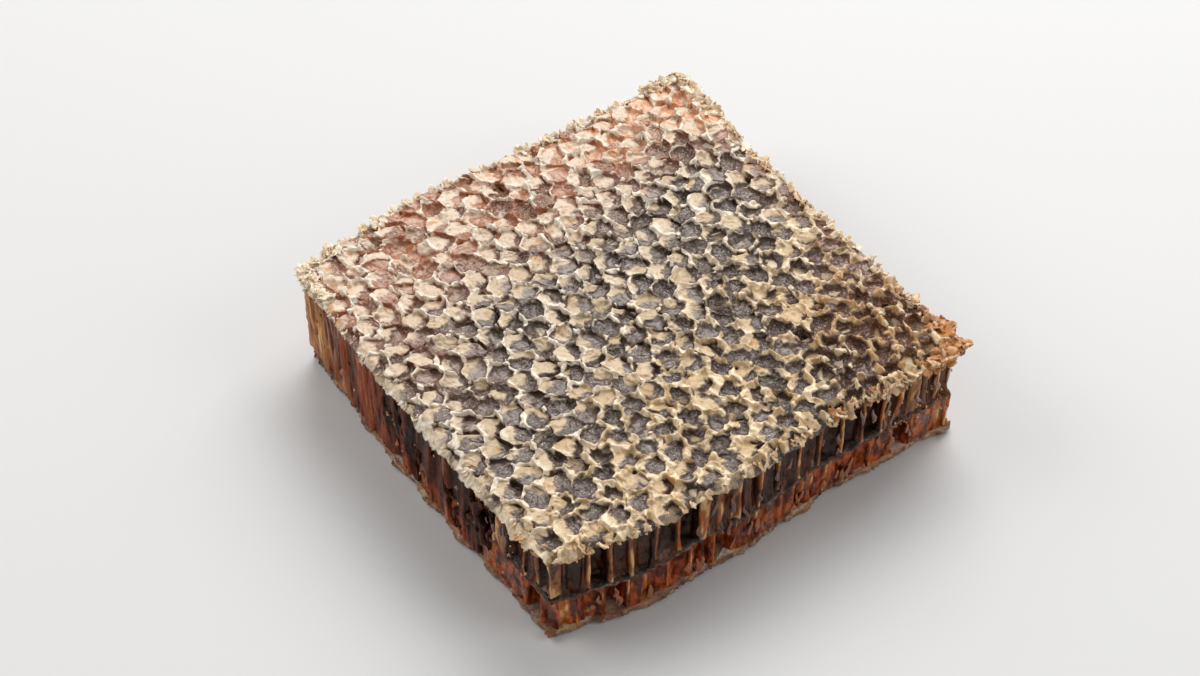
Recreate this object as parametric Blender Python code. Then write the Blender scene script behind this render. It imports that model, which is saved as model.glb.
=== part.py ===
"""A square piece of cut comb honey: two layers of hexagonal cells, back to back on a thin wax midrib,
closed above and below by wax cappings. The knife has opened the cells along all four sides.
Metres, +Z up, standing on its lower cappings with the origin under the middle of its box."""

import math
import random

import bmesh
import bpy
from mathutils import Matrix, Vector, geometry, noise

MM = 0.001

# The cells
CELL_PITCH = 5.45 * MM                     # middle to middle of neighbouring cells
CELL_CORNER = CELL_PITCH / math.sqrt(3)    # middle of a cell to its corner
CELL_WALL = 0.7 * MM                       # wax between two cells, with the honey that clings to it
ROW_TILT = math.radians(9)                 # the rows of cells against the front cut

# The layers, from the bottom up. Each keeps clear of the next by GAP.
GAP = 0.3 * MM
LOWER_CAPPING = 1.2 * MM
LOWER_CELLS = 8.1 * MM
MIDRIB = 0.8 * MM
UPPER_CELLS = 12.1 * MM
UPPER_CAPPING = 1.2 * MM                   # from its flat underside to the top of the cell rims, on average

# The cuts, seen from above, anticlockwise from the front left corner
KNIFE_CUTS_MM = [
    (-49.5, -49.5),
    (-31.0, -53.5),
    (-3.0, -53.0),
    (14.0, -50.8),
    (49.3, -50.3),
    (50.2, -10.0),
    (50.4, 20.0),
    (52.5, 52.5),
    (17.0, 50.5),
    (-19.0, 49.5),
    (-38.0, 46.0),
    (-50.5, 42.5),
    (-51.5, 15.0),
    (-51.0, -20.0),
]
CELLS_SET_BACK = 0.5 * MM                  # how far the cells lie behind the edge of the cappings
MIDRIB_SET_BACK = 0.3 * MM

# The upper cappings: rims stand up, caps bulge or sink between them
RIM_UNEVENNESS = 0.25 * MM
CAP_BULGE = 0.5 * MM
CAP_SINK = 0.6 * MM
TORN_FROM_X = 12 * MM                      # to the right of this the front row of caps is torn away
TORN_DEPTH = 0.6 * CELL_PITCH

SEED = 7


def clear_scene():
    for item in list(bpy.data.objects):
        bpy.data.objects.remove(item)


def material(name, colour, roughness):
    made = bpy.data.materials.new(name)
    made.use_nodes = True
    shader = made.node_tree.nodes["Principled BSDF"]
    shader.inputs["Base Color"].default_value = (*colour, 1)
    shader.inputs["Roughness"].default_value = roughness
    shader.inputs["Metallic"].default_value = 0
    return made


def add_object(name, bm, its_material=None):
    mesh = bpy.data.meshes.new(name)
    bm.to_mesh(mesh)
    bm.free()
    made = bpy.data.objects.new(name, mesh)
    bpy.context.scene.collection.objects.link(made)
    if its_material:
        mesh.materials.append(its_material)
    else:
        made.hide_render = True
        made.display_type = "WIRE"
    return made


# Plan shapes

def knife_outline():
    """The cut outline, with the middle of its box at the origin."""
    points = [Vector(p) * MM for p in KNIFE_CUTS_MM]
    middle = Vector([(min(p[i] for p in points) + max(p[i] for p in points)) / 2 for i in (0, 1)])
    return [p - middle for p in points]


def outward_normal(start, end):
    along = (end - start).normalized()
    return Vector((along.y, -along.x))


def set_back(outline, distance):
    """The outline moved inwards by a distance, with its corners kept sharp."""
    moved = []
    for i, point in enumerate(outline):
        before = outward_normal(outline[i - 1], point)
        after = outward_normal(point, outline[(i + 1) % len(outline)])
        bisector = (before + after).normalized()
        moved.append(point - bisector * distance / bisector.dot(after))
    return moved


def depth_inside(point, outline):
    """How far a point lies inside the outline, negative outside."""
    nearest, inside = math.inf, False
    for i, end in enumerate(outline):
        start = outline[i - 1]
        share = max(0, min(1, geometry.intersect_point_line(point, start, end)[1]))
        nearest = min(nearest, (point - start.lerp(end, share)).length)
        if (start.y > point.y) != (end.y > point.y):
            crossing = start.x + (point.y - start.y) * (end.x - start.x) / (end.y - start.y)
            inside ^= point.x < crossing
    return nearest if inside else -nearest


def cell_middles(outline, shift):
    """The middles of the cells that reach the outline, in rows tilted by ROW_TILT."""
    turn = Matrix.Rotation(ROW_TILT, 2)
    reach = int(max(p.length for p in outline) / (CELL_PITCH * math.sqrt(0.75))) + 2
    middles = []
    for row in range(-reach, reach + 1):
        for place in range(-reach, reach + 1):
            flat = Vector(((place + row % 2 / 2) * CELL_PITCH, row * CELL_PITCH * math.sqrt(0.75)))
            middle = turn @ (flat + shift)
            if depth_inside(middle, outline) > -CELL_CORNER:
                middles.append(middle)
    return middles


# Solids

def prism(name, outline, low, high, its_material=None):
    bm = bmesh.new()
    base = bm.faces.new([bm.verts.new((p.x, p.y, low)) for p in outline])
    base.normal_flip()
    top = bmesh.ops.extrude_face_region(bm, geom=[base])
    raised = [v for v in top["geom"] if isinstance(v, bmesh.types.BMVert)]
    bmesh.ops.translate(bm, verts=raised, vec=(0, 0, high - low))
    bmesh.ops.recalc_face_normals(bm, faces=bm.faces)
    return add_object(name, bm, its_material)


def cut_with(target, cutter, operation):
    cut = target.modifiers.new(cutter.name, "BOOLEAN")
    cut.operation = operation
    cut.object = cutter
    cut.solver = "EXACT"


def cell_layer(name, outline, low, height, shift, its_material):
    """One layer of honey-filled cells, with the cells that the knife has opened drained part way."""
    layer = prism(name, outline, low, low + height, its_material)
    rng = random.Random(f"{name} {SEED}")
    bm = bmesh.new()
    for middle in cell_middles(outline, shift):
        depth = depth_inside(middle, outline)
        left_full = rng.random() < 0.15
        if depth > 0.3 * CELL_PITCH or left_full:
            continue
        clinging_honey = rng.uniform(0, 0.5) * MM
        size = CELL_CORNER - CELL_WALL / math.sqrt(3) - clinging_honey
        bmesh.ops.create_cone(
            bm, cap_ends=True, segments=6, radius1=size, radius2=size, depth=height * 1.2,
            matrix=Matrix.Translation((*middle, low + height / 2)) @ Matrix.Rotation(ROW_TILT, 4, "Z"),
        )
    cut_with(layer, add_object(f"{name}_open_cells", bm), "DIFFERENCE")
    return layer


def is_capped(middle, outline):
    """The front row of caps is torn away to the right of TORN_FROM_X; elsewhere caps reach the cuts."""
    at_the_front = middle.y < 0 and abs(middle.x) < -middle.y
    torn = at_the_front and middle.x > TORN_FROM_X
    return depth_inside(middle, outline) > (TORN_DEPTH if torn else -0.6 * CELL_PITCH)


def upper_capping(outline, low, its_material):
    """The wax sheet over the upper cells: a hexagon of six triangles for each cell, thickened down to a flat
    underside and trimmed by the knife."""
    rng = random.Random(f"capping {SEED}")
    bm = bmesh.new()
    cap_points = []
    for middle in cell_middles(outline, Vector((0, 0))):
        if not is_capped(middle, outline):
            continue
        place = Matrix.Translation((*middle, low + UPPER_CAPPING)) @ Matrix.Rotation(ROW_TILT, 4, "Z")
        fan = bmesh.ops.create_circle(bm, cap_ends=True, cap_tris=True, segments=6, radius=CELL_CORNER, matrix=place)
        middle_vert = max(fan["verts"], key=lambda v: len(v.link_edges))
        cap_points.append((middle_vert, rng.uniform(-CAP_SINK, CAP_BULGE)))
    for vert in bm.verts:
        vert.co.z += RIM_UNEVENNESS * noise.noise(vert.co / CELL_PITCH)
    for vert, height in cap_points:
        vert.co.z += height
    bmesh.ops.remove_doubles(bm, verts=bm.verts, dist=0.1 * MM)
    bmesh.ops.recalc_face_normals(bm, faces=bm.faces)
    underside = list(bm.faces)
    raised = bmesh.ops.extrude_face_region(bm, geom=underside, use_keep_orig=True)
    sunk = [v for v in raised["geom"] if isinstance(v, bmesh.types.BMVert)]
    for vert in sunk:
        vert.co.z = low
    flat = [f for f in bm.faces if all(v.co.z == low for v in f.verts)]
    bmesh.ops.dissolve_limit(
        bm, angle_limit=math.radians(1),
        verts=list({v for f in flat for v in f.verts}), edges=list({e for f in flat for e in f.edges}),
    )
    bmesh.ops.recalc_face_normals(bm, faces=bm.faces)
    sheet = add_object("upper_capping", bm, its_material)
    knife = prism("upper_capping_knife", outline, low - UPPER_CAPPING, low + 4 * UPPER_CAPPING)
    cut_with(sheet, knife, "INTERSECT")
    return sheet


def build():
    clear_scene()
    wax = material("capping_wax", (0.66, 0.52, 0.33), 0.5)
    dark_honey = material("dark_honey_cells", (0.10, 0.04, 0.02), 0.2)
    amber_honey = material("amber_honey_cells", (0.22, 0.05, 0.01), 0.2)
    midrib_wax = material("midrib_wax", (0.35, 0.22, 0.12), 0.4)

    edge = knife_outline()
    cells_edge = set_back(edge, CELLS_SET_BACK)
    opposite_cells = Vector((0, CELL_CORNER))   # the lower cells stand over the corners of the upper ones

    prism("lower_capping", edge, 0, LOWER_CAPPING, wax)
    low = LOWER_CAPPING + GAP
    cell_layer("lower_cells", cells_edge, low, LOWER_CELLS, opposite_cells, amber_honey)
    low += LOWER_CELLS + GAP
    prism("midrib", set_back(edge, MIDRIB_SET_BACK), low, low + MIDRIB, midrib_wax)
    low += MIDRIB + GAP
    cell_layer("upper_cells", cells_edge, low, UPPER_CELLS, Vector((0, 0)), dark_honey)
    low += UPPER_CELLS + GAP
    upper_capping(edge, low, wax)


build()
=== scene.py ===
# A piece of cut comb honey: wax cappings over two layers of cells, opened along the sides by the knife.
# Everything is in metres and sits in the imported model's frame.

import math
import random

import bmesh
import bpy
from mathutils import Matrix, Vector, geometry, kdtree, noise


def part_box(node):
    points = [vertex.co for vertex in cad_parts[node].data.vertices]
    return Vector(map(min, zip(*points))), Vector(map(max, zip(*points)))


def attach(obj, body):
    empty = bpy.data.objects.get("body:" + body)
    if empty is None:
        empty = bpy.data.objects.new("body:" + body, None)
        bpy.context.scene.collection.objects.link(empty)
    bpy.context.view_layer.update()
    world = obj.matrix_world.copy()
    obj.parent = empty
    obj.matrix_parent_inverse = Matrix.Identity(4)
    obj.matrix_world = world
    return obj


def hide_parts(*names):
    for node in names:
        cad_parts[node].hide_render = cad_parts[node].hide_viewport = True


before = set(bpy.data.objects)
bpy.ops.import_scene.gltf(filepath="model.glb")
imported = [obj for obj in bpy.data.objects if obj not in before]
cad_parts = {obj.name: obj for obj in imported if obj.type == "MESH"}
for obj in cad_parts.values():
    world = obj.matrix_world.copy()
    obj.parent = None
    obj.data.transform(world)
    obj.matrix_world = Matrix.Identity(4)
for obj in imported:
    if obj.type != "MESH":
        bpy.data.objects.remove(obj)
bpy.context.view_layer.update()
mm = 0.001

comb = {
    "cellPitch": 5.45 * mm,           # middle to middle of neighbouring cells
    "rowTilt": math.radians(9),       # the rows of cells against the front cut
    "tornFromX": 12 * mm,             # the front row of caps is gone to the right of this
    "tornDepth": 0.6 * 5.45 * mm,     # how far in from the cut they are gone
}
cellCorner = comb["cellPitch"] / math.sqrt(3)
apothem = comb["cellPitch"] / 2       # the middle of a cell to its rim
rowHeight = comb["cellPitch"] * math.sqrt(0.75)
combReach = 80 * mm                   # further than any corner from the middle
turnIn = Matrix.Rotation(-comb["rowTilt"], 2)
turnOut = Matrix.Rotation(comb["rowTilt"], 2)


# Plan shapes

def ramp(value, low, high):
    share = max(0.0, min(1.0, (value - low) / (high - low)))
    return share * share * (3 - 2 * share)


def wayTo(angle):
    return Vector((math.cos(angle), math.sin(angle)))


def wander(point, size, seed=0.0):
    # smooth noise from about -1 to 1, with features about as large as size
    return noise.noise(Vector((point[0] / size, point[1] / size, seed))) * 1.6


def solidNoise(p, z, size, height, seed=0.0):
    return noise.noise(Vector((p.x / size, p.y / size, z / height + seed)))


def vertsOf(geom):
    return [v for v in geom if isinstance(v, bmesh.types.BMVert)]


def edgesOf(geom):
    return [e for e in geom if isinstance(e, bmesh.types.BMEdge)]


def openEdges(bm):
    return [e for e in bm.edges if e.is_boundary]


def baseFace(bm):
    low = min(v.co.z for v in bm.verts)
    flat = [f for f in bm.faces if all(abs(v.co.z - low) < 0.01 * mm for v in f.verts)]
    return max(flat, key=lambda f: f.calc_area())


def mergedCopy(nodeName):
    bm = bmesh.new()
    bm.from_mesh(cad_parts[nodeName].data)
    bmesh.ops.remove_doubles(bm, verts=bm.verts, dist=0.01 * mm)
    bmesh.ops.dissolve_limit(bm, angle_limit=math.radians(1), verts=bm.verts, edges=bm.edges)
    return bm


def planOutline(nodeName):
    bm = mergedCopy(nodeName)
    points = [loop.vert.co.xy.copy() for loop in baseFace(bm).loops]
    bm.free()
    doubledArea = sum(a.cross(b) for a, b in zip(points, points[1:] + points[:1]))
    return points if doubledArea > 0 else points[::-1]


knifeEdge = planOutline("lower_capping")


def toCut(point):
    # the depth inside, negative outside, and the way out
    nearest, inside, foot = math.inf, False, point
    for i, end in enumerate(knifeEdge):
        start = knifeEdge[i - 1]
        share = max(0, min(1, geometry.intersect_point_line(point, start, end)[1]))
        there = start.lerp(end, share)
        if (point - there).length < nearest:
            nearest, foot = (point - there).length, there
        if (start.y > point.y) != (end.y > point.y):
            crossing = start.x + (point.y - start.y) * (end.x - start.x) / (end.y - start.y)
            inside ^= point.x < crossing
    away = (foot - point) if inside else (point - foot)
    return (nearest if inside else -nearest), away.normalized()


def depthInside(point):
    return toCut(point)[0]


def cellMiddles(shift):
    reach = int(combReach / comb["cellPitch"]) + 2
    middles = []
    for row in range(-reach, reach + 1):
        for place in range(-reach, reach + 1):
            flat = Vector((place + row % 2 / 2, row * math.sqrt(0.75))) * comb["cellPitch"]
            middle = turnOut @ (flat + shift)
            if depthInside(middle) > -cellCorner:
                middles.append(middle)
    return middles


def isTorn(middle):
    atTheFront = middle.y < 0 and abs(middle.x) < -middle.y
    return atTheFront and middle.x > comb["tornFromX"] and depthInside(middle) < comb["tornDepth"]


def plantTree(middles):
    tree = kdtree.KDTree(len(middles))
    for number, middle in enumerate(middles):
        tree.insert((*middle, 0), number)
    tree.balance()
    return tree


upperMiddles = cellMiddles(Vector((0, 0)))
lowerMiddles = cellMiddles(Vector((0, cellCorner)))    # under the corners of the upper cells
upperTree = plantTree(upperMiddles)
lowerTree = plantTree(lowerMiddles)


def hexShare(local):
    # 0 in the middle of a cell, 1 on its rim; local is in the turned frame of the rows
    return max(abs(local.dot(wayTo(a))) for a in (0, math.pi / 3, -math.pi / 3)) / apothem


def nearestCell(p, tree):
    # its middle, its number and how far towards its rim p lies
    spot, number, _ = tree.find((*p, 0))
    middle = Vector(spot[:2])
    return middle, number, hexShare(turnIn @ (p - middle))


def cornerShare(local):
    # 1 at the corners of a cell, 0 away from them
    corners = [Vector((math.sin(a), math.cos(a))) * cellCorner for a in (i * math.pi / 3 for i in range(6))]
    return math.exp(-(min((local - c).length for c in corners) / (0.7 * mm)) ** 2)


# Materials

def feed(socket, value):
    if isinstance(value, bpy.types.NodeSocket):
        socket.id_data.links.new(value, socket)
    elif socket.type == "RGBA" and len(value) == 3:
        socket.default_value = (*value, 1)
    else:
        socket.default_value = value


def addNode(tree, kind, inputs=None, **settings):
    made = tree.nodes.new(kind)
    for name, value in settings.items():
        setattr(made, name, value)
    for name, value in (inputs or {}).items():
        feed(made.inputs[name], value)
    return made


def newMaterial(name):
    made = bpy.data.materials.new(name)
    made.use_nodes = True
    return made, made.node_tree


def setLook(material, values, bumps=()):
    # bumps come one after another, each as (height, distance)
    tree = material.node_tree
    shader = tree.nodes["Principled BSDF"]
    for name, value in values.items():
        feed(shader.inputs[name], value)
    normal = None
    for height, distance in bumps:
        settings = {"Height": height, "Distance": distance, "Strength": 1.0}
        if normal:
            settings["Normal"] = normal
        normal = addNode(tree, "ShaderNodeBump", settings).outputs["Normal"]
    if normal:
        feed(shader.inputs["Normal"], normal)
    return material


def lightInside(weight, radius, scale):
    return {"Subsurface Weight": weight, "Subsurface Radius": radius, "Subsurface Scale": scale * mm}


def place(tree):
    return addNode(tree, "ShaderNodeTexCoord").outputs["Object"]


def axes(tree):
    return addNode(tree, "ShaderNodeSeparateXYZ", {"Vector": place(tree)}).outputs


def attribute(tree, name):
    return addNode(tree, "ShaderNodeAttribute", attribute_name=name).outputs["Fac"]


def speckle(tree, size, detail=3.0, roughness=0.55, stretch=None):
    coords = place(tree)
    if stretch:
        coords = addNode(tree, "ShaderNodeMapping", {"Vector": coords, "Scale": stretch}).outputs["Vector"]
    settings = {"Vector": coords, "Scale": 1 / size, "Detail": detail, "Roughness": roughness}
    return addNode(tree, "ShaderNodeTexNoise", settings).outputs["Fac"]


def pebbles(tree, size):
    settings = {"Vector": place(tree), "Scale": 1 / size, "Randomness": 1.0}
    return addNode(tree, "ShaderNodeTexVoronoi", settings, feature="SMOOTH_F1").outputs["Distance"]


def grains(tree, size, share):
    # 1 inside a share of small round grains, 0 elsewhere
    settings = {"Vector": place(tree), "Scale": 1 / size, "Randomness": 1.0}
    found = addNode(tree, "ShaderNodeTexVoronoi", settings)
    chosen = addNode(tree, "ShaderNodeSeparateColor", {"Color": found.outputs["Color"]}).outputs["Red"]
    inside = spread(found.outputs["Distance"], 0.5, 0.25)
    return times(spread(chosen, 1 - share, 1.02 - share), inside)


def treeOf(*values):
    return next(value.id_data for value in values if isinstance(value, bpy.types.NodeSocket))


def calc(operation, a, b):
    made = addNode(treeOf(a, b), "ShaderNodeMath", operation=operation)
    feed(made.inputs[0], a)
    feed(made.inputs[1], b)
    return made.outputs["Value"]


def plus(a, b):
    return calc("ADD", a, b)


def times(a, b):
    return calc("MULTIPLY", a, b)


def larger(a, b):
    return calc("MAXIMUM", a, b)


def spread(value, low, high, toHigh=1.0, toLow=0.0):
    settings = {"Value": value, "From Min": low, "From Max": high, "To Min": toLow, "To Max": toHigh}
    made = addNode(value.id_data, "ShaderNodeMapRange", settings, interpolation_type="SMOOTHSTEP")
    return made.outputs["Result"]


def blend(kind, sockets, values):
    # the mix node keeps a set of numbered sockets for each kind of value
    made = addNode(treeOf(*values), "ShaderNodeMix", data_type=kind)
    for socket, value in zip(sockets, values):
        feed(made.inputs[socket], value)
    return made


def mix(share, first, second):
    return blend("RGBA", (0, 6, 7), (share, first, second)).outputs[2]


def mixValue(share, first, second):
    return blend("FLOAT", (0, 2, 3), (share, first, second)).outputs[0]


def stepped(value, surface, *steps):
    # from one colour on to others as the value rises, each step as (low, high, colour)
    for low, high, colour in steps:
        surface = mix(spread(value, low, high), surface, colour)
    return surface


def painted(surface, *coats):
    # one colour over another, each as (share, colour)
    for share, colour in coats:
        surface = mix(share, surface, colour)
    return surface


def zone(tree, acrossX, acrossY, most=1.0):
    # 1 in one corner or along one side of the comb, from where it starts and where it is full on each axis
    parts = axes(tree)
    return times(spread(parts["X"], *acrossX), spread(parts["Y"], *acrossY, most))


def paintedBacklight(tree):
    # 0 in the dark middle and front of the comb, 1 at its back, where painted light comes through, less at the
    # right
    parts = axes(tree)
    slanted = plus(parts["Y"], times(parts["X"], -0.16))
    slanted = plus(slanted, times(speckle(tree, 14 * mm), 0.012))
    back = spread(slanted, 0.016, 0.047)
    backCorner = spread(plus(parts["X"], parts["Y"]), 0.060, 0.088)
    rightCorner = zone(tree, (0.024, 0.056), (0.005, -0.045), 0.3)
    rightEdge = zone(tree, (0.036, 0.054), (-0.052, -0.030), 0.5)
    return larger(larger(back, backCorner), larger(rightCorner, rightEdge))


waxLook = {
    "tan": (0.51, 0.38, 0.22),
    "tanPale": (0.64, 0.51, 0.35),
    # lids paler and pinker where painted light comes through
    "tanBacklit": (0.76, 0.59, 0.45),
    "cream": (0.91, 0.81, 0.68),
    "stained": (0.33, 0.20, 0.09),
    "amber": (0.60, 0.25, 0.05),
    "golden": (0.66, 0.46, 0.23),
    "creamGolden": (0.91, 0.74, 0.51),
    "creamSoaked": (0.88, 0.67, 0.43),
    "orange": (0.62, 0.33, 0.12),
    "filmOrange": (0.32, 0.125, 0.045),
    "shadeOrange": (0.15, 0.050, 0.016),
    # painted glow of light coming through the film
    "filmGlow": (0.62, 0.27, 0.12),
    "filmGlowPale": (0.84, 0.56, 0.38),
    "filmRed": (0.70, 0.27, 0.09),
    "film": (0.080, 0.046, 0.030),
    # film patches, partly their own tone and partly painted sheen
    "filmGreyAndSheen": (0.185, 0.132, 0.108),
    "filmPaleAndSheen": (0.30, 0.24, 0.20),
    # film colours where painted light comes through
    "filmBacklit": (0.28, 0.092, 0.032),
    "filmBacklitPale": (0.51, 0.27, 0.155),
    "between": (0.26, 0.185, 0.125),
    # painted shade in crevices and on the flanks of rims
    "shade": (0.055, 0.022, 0.010),
    # shade colour where painted light comes through
    "shadeBacklit": (0.38, 0.11, 0.034),
    "shadeGlow": (0.66, 0.30, 0.14),
    # painted glints
    "paintedGlint": (0.52, 0.46, 0.42),
}


def cappingWax():
    made, tree = newMaterial("cappingWax")
    look = waxLook
    # painted light coming through makes the film reddish along the left cut too
    backlitShare = larger(paintedBacklight(tree), zone(tree, (-0.022, -0.050), (-0.025, 0.030), 0.6))
    corner = zone(tree, (0.014, 0.046), (-0.006, -0.040))
    parts = axes(tree)
    # where the painted light coming through is strongest: at the back, right of the middle
    glow = times(spread(paintedBacklight(tree), 0.6, 0.9), spread(parts["X"], 0.000, 0.036))
    golden = calc("SUBTRACT", times(parts["X"], 0.45), parts["Y"])
    golden = spread(golden, -0.006, 0.036)
    rough = attribute(tree, "rough")

    # the film over the honey of a cap that has soaked; its grey and pale patches are partly its own tone,
    # partly painted sheen
    mottle = spread(speckle(tree, 2.0 * mm, 4.0, 0.6), 0.36, 0.64)
    pale = spread(speckle(tree, 0.9 * mm, 4.0, 0.6), 0.54, 0.74, 0.7)
    patches = spread(speckle(tree, 7 * mm, 2.0), 0.52, 0.62, 0.8)
    dark = times(spread(speckle(tree, 0.45 * mm, 3.0), 0.56, 0.40, 0.8), rough)
    # painted glints: small pale grains on rough film
    paintedGlints = times(grains(tree, 0.36 * mm, 0.16), rough)
    filmBacklit = mix(mottle, look["filmBacklit"], look["filmBacklitPale"])
    filmGlow = mix(mottle, look["filmGlow"], look["filmGlowPale"])
    filmGlow = mix(patches, filmGlow, look["filmRed"])
    film = painted(
        look["film"], (mottle, look["filmGreyAndSheen"]), (pale, look["filmPaleAndSheen"]),
        (backlitShare, mix(glow, filmBacklit, filmGlow)), (corner, look["filmOrange"]),
        (dark, look["film"]), (paintedGlints, look["paintedGlint"]),
    )
    # painted shade: near-black brown where shade falls, in crevices and on the flanks of rims
    paintedShade = painted(
        look["shade"], (backlitShare, look["shadeBacklit"]), (glow, look["shadeGlow"]), (corner, look["shadeOrange"]),
    )
    film = mix(attribute(tree, "shade"), film, paintedShade)

    # the wax of dry caps and rims, and the cream on its crests, partly pale wax and partly a painted highlight
    stains = spread(speckle(tree, 1.1 * mm, 4.0), 0.47, 0.72, 0.65)
    amber = plus(speckle(tree, 3.2 * mm, 1.0), times(backlitShare, 0.06))
    tan = painted(
        look["tan"], (attribute(tree, "tone"), look["tanPale"]),
        (times(golden, 0.7), look["golden"]), (backlitShare, look["tanBacklit"]),
        (times(corner, 0.8), look["orange"]), (stains, look["stained"]),
        (spread(amber, 0.65, 0.76, 0.7), look["amber"]),
    )
    cream = painted(
        look["cream"], (golden, look["creamGolden"]), (times(corner, 0.55), look["creamSoaked"]),
    )
    ragged = times(calc("SUBTRACT", speckle(tree, 0.6 * mm, 4.0, 0.65), 0.5), 0.6)
    creamAndHighlight = spread(plus(attribute(tree, "creamAndHighlight"), ragged), 0.35, 0.75)
    level = plus(attribute(tree, "wax"), ragged)
    between = mix(backlitShare, look["between"], tan)
    film = stepped(level, film, (0.15, 0.50, between), (0.40, 0.85, tan))
    dry = spread(larger(level, creamAndHighlight), 0.20, 0.70)
    soaked = spread(corner, 0.0, 0.6, 0.95, 0.40)
    pebbled = times(pebbles(tree, 0.5 * mm), times(rough, calc("SUBTRACT", 1.0, dry)))
    return setLook(made, {
        "Base Color": mix(creamAndHighlight, film, cream),
        "Roughness": mixValue(dry, 0.36, 0.50),
        "Coat Weight": mixValue(dry, soaked, 0.22),
        "Coat Roughness": 0.12,
        **lightInside(0.2, (1.0, 0.85, 0.70), 0.5),
    }, [(pebbled, 0.5 * mm), (speckle(tree, 0.5 * mm), 0.11 * mm)])


honeyTint = (1.0, 0.60, 0.40)
honeyGlow = (1.0, 0.35, 0.1)     # red light goes furthest through honey
upperHoney = {
    "pocket": (0.022, 0.008, 0.004),
    "pocketRed": (0.10, 0.026, 0.009),
    "fin": (0.29, 0.108, 0.040),
    "finRed": (0.48, 0.13, 0.022),
    "edge": (0.70, 0.40, 0.18),
    # colours where painted light comes through at the back
    "backlitPocket": (0.22, 0.050, 0.008),
    "backlitPale": (0.42, 0.155, 0.028),
    "backlitFin": (0.58, 0.32, 0.11),
    "finWidth": (0.79, 0.92),
    "clouds": 3.0 * mm,
    "coat": 0.30,
    "hollow": (0.3, 2.2),             # how far the honey in a cut cell stands back, in mm
    "roughness": 0.20,
    "reach": (-0.3 * mm, 0.05 * mm),  # how far the walls go on past their node, below and above
}
lowerHoney = {
    "pocket": (0.085, 0.010, 0.001),
    "pocketRed": (0.52, 0.090, 0.006),
    "fin": (0.46, 0.12, 0.014),
    "finRed": (0.50, 0.11, 0.010),
    "edge": (0.72, 0.50, 0.24),
    # colours where painted light comes through at the back
    "backlitPocket": (0.26, 0.050, 0.005),
    "backlitPale": (0.52, 0.18, 0.025),
    "backlitFin": (0.62, 0.33, 0.10),
    "finWidth": (0.88, 0.98),
    "clouds": 1.7 * mm,
    "coat": 0.55,
    "hollow": (-0.6, 1.2),
    "roughness": 0.12,
    "reach": (-0.3 * mm, 0.3 * mm),
}


def shardWax():
    # scraps of wax along the cuts, from dry cream to amber soaked with honey
    made, tree = newMaterial("shardWax")
    tone = plus(attribute(tree, "tone"), times(speckle(tree, 1.5 * mm), 0.35))
    tone = calc("SUBTRACT", tone, 0.17)
    cream, tan, amber = (0.96, 0.80, 0.60), (0.78, 0.54, 0.32), (0.58, 0.25, 0.075)
    return setLook(made, {
        "Base Color": stepped(tone, cream, (0.0, 0.45, tan), (0.5, 0.95, amber)),
        "Roughness": 0.38,
        "Coat Weight": 0.25,
        "Coat Roughness": 0.12,
        **lightInside(0.3, (1.0, 0.98, 0.94), 0.5),
    }, [(speckle(tree, 0.5 * mm), 0.12 * mm)])


def cellWallLook(name, look):
    # dark honey between walls of stained wax, paler along their torn edges and where light comes through
    made, tree = newMaterial(name)
    backlitShare = paintedBacklight(tree)
    streaks = speckle(tree, 0.9 * mm, stretch=(1, 1, 0.10))
    clouds = speckle(tree, look["clouds"], 4.0, 0.6, stretch=(1, 1, 0.5))
    pocket = stepped(clouds, look["pocket"], (0.42, 0.64, look["pocketRed"]))
    # paler pockets and fins where painted light comes through at the back
    glow = stepped(clouds, look["backlitPocket"], (0.35, 0.65, look["backlitPale"]))
    pocket = mix(backlitShare, pocket, glow)
    fin = stepped(clouds, look["fin"], (0.50, 0.62, look["finRed"]))
    fin = mix(backlitShare, fin, look["backlitFin"])
    wall = plus(attribute(tree, "wall"), times(streaks, 0.7))
    wet = spread(wall, 1.1, 0.7, look["coat"], 0.10)
    drips = speckle(tree, 1.4 * mm, stretch=(1, 1, 0.45))
    return setLook(made, {
        "Base Color": stepped(wall, pocket, (0.50, 1.05, fin), (1.10, 1.5, look["edge"])),
        "Roughness": look["roughness"],
        "Specular IOR Level": 0.25,
        "Specular Tint": honeyTint,
        "Coat Weight": wet,
        "Coat Roughness": 0.05,
        **lightInside(0.25, honeyGlow, 2.0),
    }, [(drips, 0.6 * mm), (speckle(tree, 0.5 * mm), 0.08 * mm)])


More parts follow.
